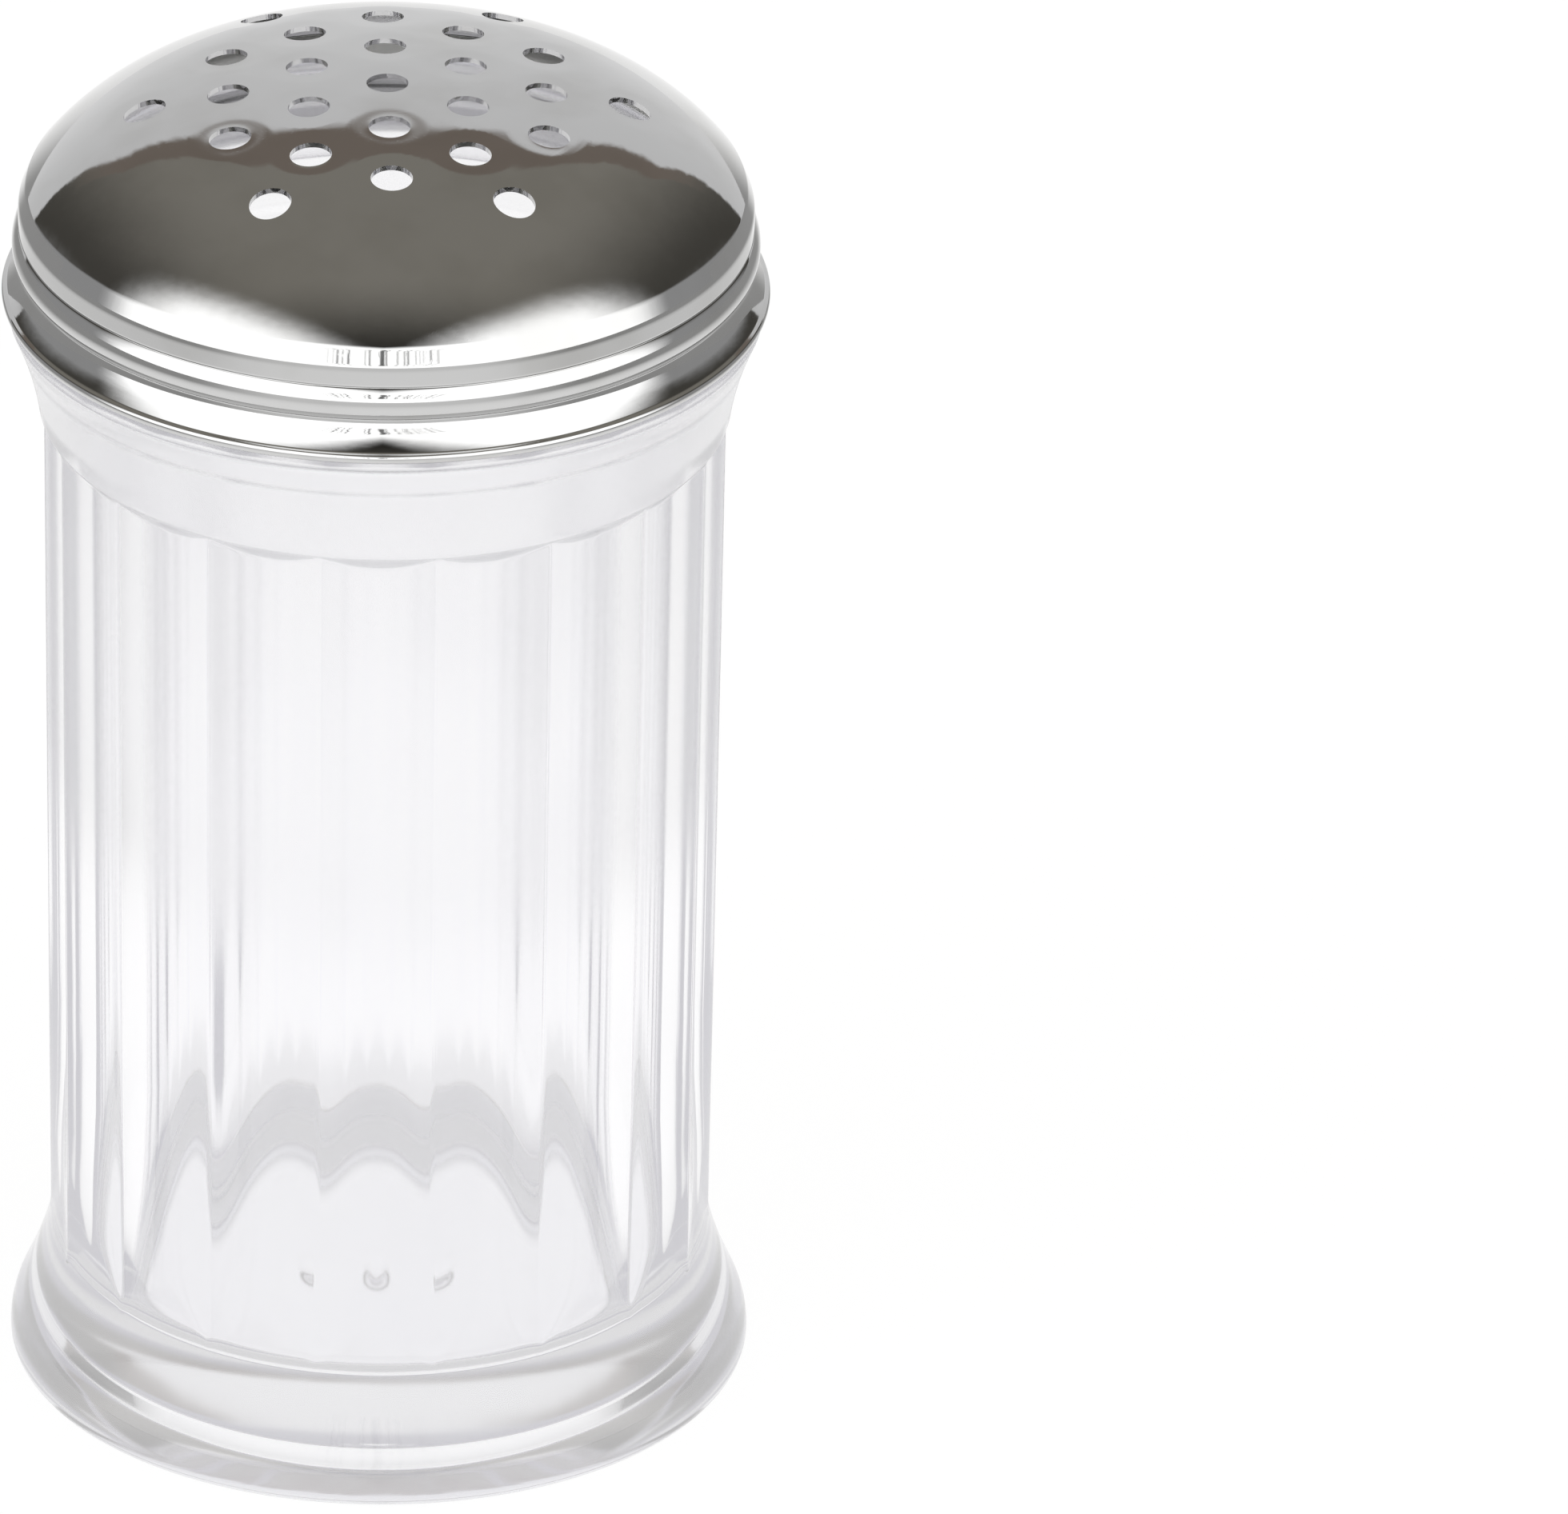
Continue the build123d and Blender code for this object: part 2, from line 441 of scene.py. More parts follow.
@dataclass(frozen=True)
class ClearPlastic:
    """Clear moulded plastic of the jar, with a painted grey glow for rays that have bounced deep inside it.
    """

    pale: Colour = (0.985, 0.984, 0.992, 1.0)
    cool: Colour = (0.962, 0.960, 0.976, 1.0)
    index: float = 1.5
    clean: float = 0.055
    hazed: float = 0.2
    smudge: float = 0.03
    haze_start: float = 0.050
    haze_full: float = 0.068
    # Painted glow: past these ray depths the plastic glows this flat grey instead of showing what lies beyond
    deepest: float = 7.5
    most_mirrored: float = 3.5
    painted_deep_glow: Colour = (0.60, 0.595, 0.625, 1.0)
    wave_scale: float = 70.0
    wave_roughness: float = 0.4
    wave_strength: float = 0.1
    wave_height: float = 0.0002

    def make(self, marks: bpy.types.NodeTree) -> Material:
        """Builds the material.

        Args:
            marks: Group of handling marks.

        Returns:
            The material.
        """
        material, nodes = new_material("Clear plastic")
        wear = nodes.add("ShaderNodeGroup", node_tree=marks)
        where = nodes.add("ShaderNodeTexCoord").outputs["Object"]
        height = nodes.add("ShaderNodeSeparateXYZ", {0: where}).outputs["Z"]
        rough = nodes.ramp(height, self.haze_start, self.haze_full, self.clean, self.hazed)
        nodes.feed(wear.inputs["Clean"], rough)
        nodes.feed(wear.inputs["Smudged"], nodes.math("ADD", rough, self.smudge))
        flow = nodes.noise(where, self.wave_scale, 1.0, self.wave_roughness)
        tint = nodes.blend(flow, self.pale, self.cool)
        waves = nodes.bump(flow, self.wave_strength, self.wave_height)
        surface = nodes.add(
            "ShaderNodeBsdfPrincipled",
            {"Base Color": tint, "Roughness": wear.outputs["Roughness"], "Normal": waves},
            {"IOR": self.index, "Transmission Weight": 1.0},
        )
        # Painted light: rays deep inside the plastic see a flat grey glow in place of the light those paths
        # would bring
        path = nodes.add("ShaderNodeLightPath")
        far = nodes.math("GREATER_THAN", path.outputs["Ray Depth"], self.deepest)
        mirrored = nodes.math("GREATER_THAN", path.outputs["Glossy Depth"], self.most_mirrored)
        deep = nodes.math("MAXIMUM", far, mirrored)
        glow = nodes.add("ShaderNodeEmission", values={"Color": self.painted_deep_glow, "Strength": 1.0})
        lit = nodes.add("ShaderNodeMixShader", {0: deep, 1: surface.outputs[0], 2: glow.outputs[0]})
        nodes.add("ShaderNodeOutputMaterial", {"Surface": lit.outputs[0]})
        material.cycles.emission_sampling = "NONE"
        return material


@dataclass(frozen=True)
class PolishedSteel:
    """Polished stainless steel of the lid."""

    bright: Colour = (0.640, 0.640, 0.638, 1.0)
    dull: Colour = (0.590, 0.588, 0.580, 1.0)
    clean: float = 0.035
    smudged: float = 0.085
    fineness: float = 1.6
    scratch_strength: float = 0.02
    scratch_depth: float = 0.00002

    def make(self, marks: bpy.types.NodeTree) -> Material:
        """Builds the material.

        Args:
            marks: Group of handling marks.

        Returns:
            The material.
        """
        material, nodes = new_material("Polished steel")
        wear = nodes.add("ShaderNodeGroup", node_tree=marks)
        wear.inputs["Clean"].default_value = self.clean
        wear.inputs["Smudged"].default_value = self.smudged
        wear.inputs["Fineness"].default_value = self.fineness
        tone = nodes.blend(wear.outputs["Tone"], self.bright, self.dull)
        scratches = nodes.bump(wear.outputs["Height"], self.scratch_strength, self.scratch_depth)
        surface = nodes.add(
            "ShaderNodeBsdfPrincipled",
            {"Base Color": tone, "Roughness": wear.outputs["Roughness"], "Normal": scratches},
            {"Metallic": 1.0},
        )
        nodes.add("ShaderNodeOutputMaterial", {"Surface": surface.outputs[0]})
        return material


@dataclass(frozen=True)
class SoftSeal:
    """Soft white rubber of the seal ring."""

    light: Colour = (0.80, 0.80, 0.78, 1.0)
    shade: Colour = (0.70, 0.70, 0.67, 1.0)
    cloud_scale: float = 160.0
    grain_scale: float = 3800.0
    grain_roughness: Fade = (0.3, 0.7, 0.55, 0.7)
    grain_strength: float = 0.25
    grain_depth: float = 0.00005

    def make(self) -> Material:
        """Builds the material with a fine moulded grain."""
        material, nodes = new_material("Soft seal")
        where = nodes.add("ShaderNodeTexCoord").outputs["Object"]
        cloud = nodes.noise(where, self.cloud_scale, 4.0)
        grain = nodes.noise(where, self.grain_scale, 2.0)
        tone = nodes.blend(cloud, self.light, self.shade)
        rough = nodes.ramp(grain, *self.grain_roughness)
        bump = nodes.bump(grain, self.grain_strength, self.grain_depth)
        surface = nodes.add(
            "ShaderNodeBsdfPrincipled", {"Base Color": tone, "Roughness": rough, "Normal": bump}
        )
        nodes.add("ShaderNodeOutputMaterial", {"Surface": surface.outputs[0]})
        return material


def shape(piece: Object, made: tuple[bpy.types.NodeTree, dict[str, str]], inputs: dict[str, object]) -> None:
    """Runs a Geometry Nodes tree on a piece and keeps the result as its plain mesh.

    Args:
        piece: Object that is shaped.
        made: The tree and the identifiers of its inputs by name.
        inputs: Values by the name of their input.
    """
    tree, names = made
    modifier = piece.modifiers.new(tree.name, "NODES")
    modifier.node_group = tree
    for name, value in inputs.items():
        modifier[names[name]] = value
    settle(piece, modifier)


def radial_repeat() -> tuple[bpy.types.NodeTree, dict[str, str]]:
    """Geometry Nodes tree that repeats a sector about the axis and welds the copies.

    Returns:
        The tree and the identifiers of its inputs by name.
    """
    tree = bpy.data.node_groups.new("Radial repeat", "GeometryNodeTree")
    group_socket(tree, "Geometry", "OUTPUT", "NodeSocketGeometry")
    names = {
        "Sector": group_socket(tree, "Sector", "INPUT", "NodeSocketGeometry"),
        "Count": group_socket(tree, "Count", "INPUT", "NodeSocketInt", 18),
        "Weld": group_socket(tree, "Weld", "INPUT", "NodeSocketFloat", 0.000002),
        "Finish": group_socket(tree, "Finish", "INPUT", "NodeSocketMaterial"),
    }
    nodes = NodeTree(tree)
    given = nodes.add("NodeGroupInput")
    seats = nodes.add("GeometryNodePoints", {"Count": given.outputs["Count"]})
    number = nodes.add("GeometryNodeInputIndex")
    step = nodes.math("DIVIDE", 2 * math.pi, given.outputs["Count"])
    turn = nodes.add("ShaderNodeCombineXYZ", {"Z": nodes.times(number.outputs[0], step)})
    heading = nodes.add("FunctionNodeEulerToRotation", {0: turn.outputs[0]})
    copies = nodes.add(
        "GeometryNodeInstanceOnPoints",
        {"Points": seats.outputs[0], "Instance": given.outputs["Sector"], "Rotation": heading.outputs[0]},
    )
    whole = nodes.add("GeometryNodeRealizeInstances", {0: copies.outputs[0]})
    welded = nodes.add(
        "GeometryNodeMergeByDistance", {"Geometry": whole.outputs[0], "Distance": given.outputs["Weld"]}
    )
    dressed = nodes.add(
        "GeometryNodeSetMaterial", {"Geometry": welded.outputs[0], "Material": given.outputs["Finish"]}
    )
    nodes.add("NodeGroupOutput", {0: dressed.outputs[0]})
    return tree, names


@dataclass(frozen=True)
class HoleRing:
    """Ring of six holes in the lid, in millimetres and degrees."""

    radius: float
    start: float

    def centres(self) -> list[Point]:
        """Centres of the six holes."""
        turns = [math.radians(self.start + 360 / HOLES_IN_RING * k) for k in range(HOLES_IN_RING)]
        return [(self.radius * math.cos(t), self.radius * math.sin(t)) for t in turns]


def perforate(rings: list[HoleRing], bottom: float, top: float) -> tuple[bpy.types.NodeTree, dict[str, str]]:
    """Geometry Nodes tree that punches a centre hole and rings of holes through a sheet.

    Args:
        rings: Rings of six holes.
        bottom: Height in millimetres where the punches end.
        top: Height in millimetres where the punches start.

    Returns:
        The tree and the identifiers of its inputs by name.
    """
    tree = bpy.data.node_groups.new("Perforate", "GeometryNodeTree")
    group_socket(tree, "Geometry", "OUTPUT", "NodeSocketGeometry")
    names = {
        "Sheet": group_socket(tree, "Sheet", "INPUT", "NodeSocketGeometry"),
        "Hole Radius": group_socket(tree, "Hole Radius", "INPUT", "NodeSocketFloat", 0.002),
        "Finish": group_socket(tree, "Finish", "INPUT", "NodeSocketMaterial"),
    }
    nodes = NodeTree(tree)
    given = nodes.add("NodeGroupInput")
    seats = nodes.add("GeometryNodeJoinGeometry")
    centre = nodes.add("GeometryNodeMeshLine", values={"Count": 1})
    tree.links.new(centre.outputs[0], seats.inputs[0])
    for ring in rings:
        circle = nodes.add(
            "GeometryNodeMeshCircle", values={"Vertices": HOLES_IN_RING, "Radius": ring.radius * MM}
        )
        swung = nodes.add(
            "GeometryNodeTransform",
            {"Geometry": circle.outputs[0]},
            {"Rotation": (0.0, 0.0, math.radians(ring.start))},
        )
        tree.links.new(swung.outputs[0], seats.inputs[0])
    punch = nodes.add(
        "GeometryNodeMeshCylinder",
        {"Radius": given.outputs["Hole Radius"]},
        {"Vertices": 48, "Depth": (top - bottom) * MM},
    )
    lifted = nodes.add(
        "GeometryNodeTransform",
        {"Geometry": punch.outputs[0]},
        {"Translation": (0.0, 0.0, (top + bottom) / 2 * MM)},
    )
    punches = nodes.add(
        "GeometryNodeInstanceOnPoints", {"Points": seats.outputs[0], "Instance": lifted.outputs[0]}
    )
    solid = nodes.add("GeometryNodeRealizeInstances", {0: punches.outputs[0]})
    cut = nodes.add("GeometryNodeMeshBoolean", operation="DIFFERENCE", solver="MANIFOLD")
    tree.links.new(given.outputs["Sheet"], cut.inputs["Mesh 1"])
    tree.links.new(solid.outputs[0], cut.inputs["Mesh 2"])
    dressed = nodes.add(
        "GeometryNodeSetMaterial", {"Geometry": cut.outputs[0], "Material": given.outputs["Finish"]}
    )
    nodes.add("NodeGroupOutput", {0: dressed.outputs[0]})
    return tree, names


@dataclass
class Thread:
    """Screw thread on the jar's neck, in millimetres and degrees."""

    pitch: float = 4.0
    start_angle: float = 264.0
    start: float = 120.65
    turns: float = 0.9
    fade: float = 14.0

    def rise(self, angle: np.ndarray, height: np.ndarray) -> tuple[np.ndarray, np.ndarray]:
        """Distance from the nearest pass of the thread, and how full the thread is there.

        Args:
            angle: Angles in degrees.
            height: Heights in millimetres.

        Returns:
            Height above the nearest pass, and a share from 0 to 1.
        """
        travel = (angle - self.start_angle) % 360.0
        away = np.full(np.broadcast(angle, height).shape, 1e3)
        full = np.zeros_like(away)
        for lap in range(math.ceil(self.turns)):
            along = travel + 360.0 * lap
            gap = height - (self.start + self.pitch * along / 360.0)
            left = self.turns * 360.0 - along
            share = smooth_step(along / self.fade) * smooth_step(left / self.fade)
            better = (np.abs(gap) < np.abs(away)) & (share > 0)
            away = np.where(better, gap, away)
            full = np.where(better, share, full)
        return away, full


@dataclass
class Jar:
    """Clear jar with a flared foot, eighteen flutes and a threaded neck. Sizes are in millimetres."""

    thread: Thread
    foot_radius: float = 36.5
    foot_edge_round: float = 1.7
    foot_bulge_radius: float = 7.5
    foot_slope: float = 25.9
    foot_sweep_radius: float = 40.4
    recess_radius: float = 27.0
    recess_depth: float = 2.0
    gate_radius: float = 2.2
    gate_height: float = 1.3
    ridge_radius: float = 33.4
    draft: float = 0.48
    shoulder_height: float = 114.6
    shoulder_round: float = 0.6
    collar_start: float = 98.0
    collar_sweep_radius: float = 38.5
    flute_count: int = 18
    flute_depth: float = 0.95
    panel_depth: float = 1.6
    panel_start: float = 23.0
    panel_rise: float = 13.0
    flute_share: float = 0.95
    flute_rise: float = 5.4
    flute_end_slope: float = 45.0
    bore_radius: float = 30.0
    floor_height: float = 10.2
    floor_corner: float = 3.6
    neck_radius: float = 32.9
    neck_bore_radius: float = 30.6
    neck_bore_start: float = 110.0
    rim_height: float = 126.0
    rim_round: float = 0.5
    thread_height: float = 1.8
    edge_blend: float = 0.8
    collar_blend: float = 0.35
    foot_blend_share: float = 0.35
    gate_spread: float = 1.6
    recess_round: float = 0.35
    stand_round: float = 0.3
    neck_round: float = 0.4
    thread_half: float = 1.1
    thread_flank: float = 0.7
    base_rings: tuple[float, ...] = (5.0, 12.0, 19.0, 25.5)
    stand_rings: tuple[float, ...] = (28.5, 30.5, 33.0, 34.4)
    floor_rings: tuple[float, ...] = (14.0, 9.0, 4.0, 0.0)
    heel_rows: tuple[float, ...] = (0.1, 0.25, 0.5, 0.9, 1.5, 2.4, 3.8, 6.0)
    brow_rows: tuple[float, ...] = (2.4, 1.5, 1.0, 0.7, 0.5, 0.35, 0.2, 0.1)
    half_columns: list[float] = field(default_factory=lambda: [0, 1, 2, 3, 4, 5, 6, 7, 7.9, 8.7, 9.4, 10])

    def __post_init__(self) -> None:
        """Works out the flute's cutter and the ends of the foot's arcs."""
        half = math.radians(180 / self.flute_count * self.flute_share)
        self.chord = self.ridge_radius * math.sin(half)
        self.crest = self.ridge_radius * (1 - math.cos(half))
        self.slope = math.tan(math.radians(self.draft))
        lean = math.radians(self.foot_slope)
        self.bulge_end = (
            self.foot_radius - self.foot_bulge_radius * (1 - math.cos(lean)),
            self.foot_edge_round + self.foot_bulge_radius * math.sin(lean),
        )
        self.sweep_centre = (
            self.bulge_end[0] + self.foot_sweep_radius * math.cos(lean),
            self.bulge_end[1] + self.foot_sweep_radius * math.sin(lean),
        )
        self.flute_top = self.collar_start + self.flute_rise
        self.collar_edge = float(self.sweep(np.array(self.flute_top)))

    def column(self, height: np.ndarray) -> np.ndarray:
        """Radius over the ridges."""
        return self.ridge_radius - (self.collar_start - height) * self.slope

    def sweep(self, height: np.ndarray) -> np.ndarray:
        """Radius of the collar's sweep."""
        rise = np.clip(height - self.collar_start, 0.0, None)
        return self.ridge_radius + self.collar_sweep_radius - np.sqrt(self.collar_sweep_radius**2 - rise**2)

    def collar(self, height: np.ndarray) -> np.ndarray:
        """Radius of the collar, whose underside slopes out over the flutes."""
        under = self.collar_edge - (self.flute_top - height) / math.tan(math.radians(self.flute_end_slope))
        return smooth_min(under, self.sweep(height), self.collar_blend)

    def flute(self, turn: np.ndarray, height: np.ndarray) -> np.ndarray:
        """Radius of a flute's hollow, large where there is none.

        Args:
            turn: Angle from the flute's middle in degrees.
            height: Height in millimetres.

        Returns:
            The radius.
        """
        deepen = smooth_step((height - self.panel_start) / self.panel_rise)
        depth = self.flute_depth + (self.panel_depth - self.flute_depth) * deepen
        sagitta = depth - self.crest
        cutter = (self.chord**2 + sagitta**2) / (2 * sagitta)
        centre = self.column(height) - depth + cutter
        side = centre * np.sin(np.radians(turn))
        reach = cutter**2 - side**2
        radius = centre * np.cos(np.radians(turn)) - np.sqrt(np.maximum(reach, 0.0))
        return np.where(reach > 0, radius, 1e3)

    def foot(self, height: np.ndarray) -> np.ndarray:
        """Radius of the foot's sweep above its bulge, zero above its top."""
        below = np.clip(self.sweep_centre[1] - height, 0.0, None)
        radius = self.sweep_centre[0] - np.sqrt(self.foot_sweep_radius**2 - below**2)
        return np.where(height <= self.sweep_centre[1], radius, 0.0)

    def side(self, turn: np.ndarray, height: np.ndarray) -> np.ndarray:
        """Radius of the outer side from the foot's bulge to the collar."""
        fluted = smooth_min(self.column(height), self.flute(turn, height), self.edge_blend)
        footed = -smooth_min(-fluted, -self.foot(height), self.foot_blend_share * self.edge_blend)
        return -smooth_min(-footed, -self.collar(height), self.collar_blend)

    def crossing(self, turn: float, top: bool) -> float:
        """Height where the flute's hollow meets the collar or the foot.

        Args:
            turn: Angle from the flute's middle in degrees.
            top: Whether the collar is looked for, else the foot.

        Returns:
            The height.
        """
        low, high = self.sweep_centre[1] - 0.01, self.bulge_end[1]
        if top:
            low, high = self.collar_start, self.flute_top
        heights = np.linspace(low, high, 4000)
        ring = self.collar(heights) if top else self.foot(heights)
        inside = ring > np.minimum(self.flute(turn, heights), self.column(heights))
        return float(heights[int(np.argmax(inside))]) if inside.any() else high

    def underside(self) -> list[Point]:
        """Outline from the middle of the base to the top of the foot's bulge."""
        deep, reach = self.recess_depth, self.gate_spread * self.gate_radius
        points = [
            (reach * k / 10, deep - self.gate_height * (0.5 + 0.5 * math.cos(math.pi * k / 10)))
            for k in range(11)
        ]
        points += [(r, deep) for r in self.base_rings]
        top, foot = self.recess_round, self.stand_round
        points += arc((self.recess_radius - top, deep - top), top, 90, 0, 5)
        points += arc((self.recess_radius + foot, foot), foot, 180, 270, 5)
        inner = self.foot_radius - self.foot_edge_round
        points += [(r, 0.0) for r in self.stand_rings]
        points += arc((inner, self.foot_edge_round), self.foot_edge_round, -90, 0, 9)
        bulge_centre = (self.foot_radius - self.foot_bulge_radius, self.foot_edge_round)
        bulge = arc(bulge_centre, self.foot_bulge_radius, 0, self.foot_slope, 9)
        return points + bulge[1:]

    def top_and_inside(self) -> list[Point]:
        """Outline from the collar's lip over the rim to the middle of the inner floor."""
        rise = self.shoulder_height - self.shoulder_round - self.collar_start
        turn = math.asin(rise / (self.collar_sweep_radius + self.shoulder_round))
        lip_radius = self.ridge_radius + self.collar_sweep_radius * (1 - math.cos(turn))
        lip = (
            lip_radius - self.shoulder_round * math.cos(turn),
            self.shoulder_height - self.shoulder_round,
        )
        points = arc(lip, self.shoulder_round, -math.degrees(turn), 90, 10)
        neck_foot = (self.neck_radius + self.neck_round, self.shoulder_height)
        points += run(points[-1], neck_foot, 3)
        points += arc((neck_foot[0], neck_foot[1] + self.neck_round), self.neck_round, 270, 180, 5)[1:]
        top = self.rim_height - self.rim_round
        points += run(points[-1], (self.neck_radius, top), 30)
        points += arc((self.neck_radius - self.rim_round, top), self.rim_round, 0, 90, 6)[1:]
        points += run(points[-1], (self.neck_bore_radius + self.rim_round, self.rim_height), 3)
        points += arc((self.neck_bore_radius + self.rim_round, top), self.rim_round, 90, 180, 6)[1:]
        step = self.neck_bore_radius - self.bore_radius
        points += run(points[-1], (self.neck_bore_radius, self.neck_bore_start + step + 0.3), 6)
        points += run(points[-1], (self.bore_radius + 0.12, self.neck_bore_start + 0.12), 4)
        corner_top = self.floor_height + self.floor_corner
        wall_foot = self.bore_radius - (self.neck_bore_start - corner_top) * self.slope
        points += run(points[-1], (self.bore_radius, self.neck_bore_start - 0.25), 2)
        points += run(points[-1], (wall_foot, corner_top), 12)
        points += arc((wall_foot - self.floor_corner, corner_top), self.floor_corner, 0, -90, 22)[1:]
        points += [(r, self.floor_height) for r in self.floor_rings]
        return points

    def sector(self) -> Mesh:
        """Mesh of one flute's sector, from the base's middle round to the inner floor's middle."""
        turns = np.array([-t for t in self.half_columns[:0:-1]] + self.half_columns)
        heel = np.array([self.crossing(t, False) for t in turns])
        brow = np.array([self.crossing(t, True) for t in turns])
        upper = self.top_and_inside()
        low, high = self.bulge_end[1], upper[0][1]
        ones = np.ones(len(turns))
        heights = []
        for s in 1 - (1 - np.arange(1, 25) / 24) ** 1.6:
            heights.append(low + (heel - low) * s)
        heights += [heel + n for n in self.heel_rows]
        last = self.heel_rows[-1]
        for s in np.arange(1, 11) / 10:
            heights.append(heel + last + (brow - 4.0 - heel - last) * s)
        heights += [brow - n for n in self.brow_rows]
        for s in np.arange(0, 11) / 10:
            heights.append(brow + (self.flute_top + 0.1 - brow) * s)
        for s in (np.arange(1, 23) / 23) ** 1.5:
            heights.append(self.flute_top + 0.1 + (high - self.flute_top - 0.1) * s * ones)
        side_heights = np.array(heights)
        side_radii = self.side(turns[None, :], side_heights)
        radius = [p[0] * ones for p in self.underside()] + list(side_radii) + [p[0] * ones for p in upper]
        height = [p[1] * ones for p in self.underside()] + list(side_heights) + [p[1] * ones for p in upper]
        return lathe_mesh("Jar_sector", np.array(radius), np.array(height), FRONT + turns, closed=False)

    def raise_thread(self, mesh: Mesh) -> None:
        """Pushes the neck's outer face out along the thread."""
        points = coordinates(mesh) / MM
        radius = np.hypot(points[:, 0], points[:, 1])
        angle = np.degrees(np.arctan2(points[:, 1], points[:, 0]))
        top = self.rim_height - self.rim_round + 0.01
        neck = np.abs(radius - self.neck_radius) < 0.02
        neck &= (points[:, 2] > self.shoulder_height + 0.3) & (points[:, 2] < top)
        gap, full = self.thread.rise(angle, points[:, 2])
        flank = smooth_step((self.thread_half - np.abs(gap)) / self.thread_flank)
        push = np.where(neck, self.thread_height * full * flank, 0.0)
        points[:, :2] *= (1 + push / np.maximum(radius, 1e-6))[:, None]
        mesh.vertices.foreach_set("co", (points * MM).astype(np.float32).ravel())
        mesh.update()

    def build(self, finish: Material) -> Object:
        """Builds and dresses the jar.

        Args:
            finish: Clear plastic.

        Returns:
            The jar, riding on its body.
        """
        jar = place("Fluted_jar", self.sector())
        inputs = {"Count": self.flute_count, "Weld": WELD * MM, "Finish": finish}
        shape(jar, radial_repeat(), inputs)
        self.raise_thread(jar.data)
        shade_smooth(jar.data)
        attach(jar, Body.JAR.value)
        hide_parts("jar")
        return jar


